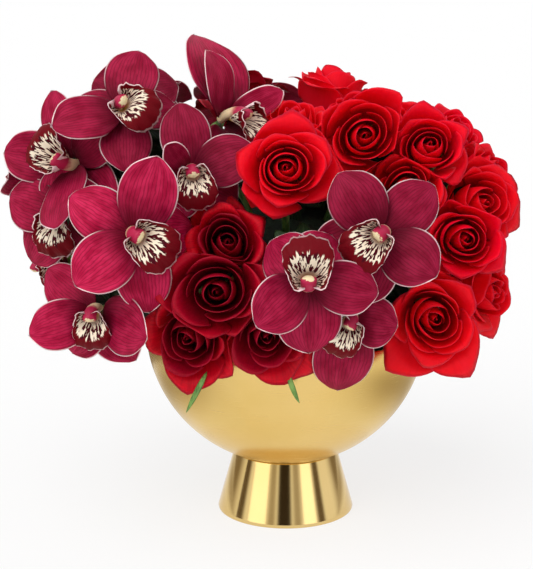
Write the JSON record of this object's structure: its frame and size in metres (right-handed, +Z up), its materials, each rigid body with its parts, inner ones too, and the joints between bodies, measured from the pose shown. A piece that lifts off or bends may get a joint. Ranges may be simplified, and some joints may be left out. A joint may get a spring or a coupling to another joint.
{
  "type": "floral table centerpiece",
  "caption": "Domed mound of red roses, velvet dark roses and burgundy orchids in floral foam, standing in a gold hemispherical bowl on a flared conical foot.",
  "frame": {"origin": "middle of the foot's base, at table level", "axes": "+Z up; -Y is the front of the arrangement; +X is to the viewer's right"},
  "size_m": [0.3671, 0.3342, 0.3342],
  "materials": {
    "bowl_gold": "satin gold, finely brushed round the bowl",
    "foot_gold": "polished gold",
    "base_pad": "matte black",
    "foam": "crumbly matte green",
    "red_rose": "satin petals",
    "dark_rose": "velvet petals",
    "orchid": "waxy veined petals"
  },
  "bodies": {
    "root": {"bowl": "bowl_gold", "foot": "foot_gold", "base_pad": "base_pad", "floral_foam": "foam", "red_rose_01": "red_rose", "red_rose_02": "red_rose", "red_rose_03": "red_rose", "red_rose_04": "red_rose", "red_rose_05": "red_rose", "red_rose_06": "red_rose", "red_rose_07": "red_rose", "red_rose_08": "red_rose", "red_rose_09": "red_rose", "red_rose_10": "red_rose", "red_rose_11": "red_rose", "red_rose_12": "red_rose", "red_rose_13": "red_rose", "red_rose_14": "red_rose", "red_rose_15": "red_rose", "red_rose_16": "red_rose", "red_rose_17": "red_rose", "red_rose_18": "red_rose", "red_rose_19": "red_rose", "red_rose_20": "red_rose", "red_rose_21": "red_rose", "red_rose_22": "red_rose", "red_rose_23": "red_rose", "dark_rose_01": "dark_rose", "dark_rose_02": "dark_rose", "dark_rose_03": "dark_rose", "dark_rose_04": "dark_rose", "dark_rose_05": "dark_rose", "dark_rose_06": "dark_rose", "dark_rose_07": "dark_rose", "dark_rose_08": "dark_rose", "orchid_01": "orchid", "orchid_02": "orchid", "orchid_03": "orchid", "orchid_04": "orchid", "orchid_05": "orchid", "orchid_06": "orchid", "orchid_07": "orchid", "orchid_08": "orchid", "orchid_09": "orchid", "orchid_10": "orchid", "orchid_11": "orchid", "orchid_12": "orchid", "orchid_13": "orchid", "orchid_14": "orchid", "orchid_15": "orchid", "orchid_16": "orchid", "orchid_17": "orchid"}
  },
  "joints": []
}
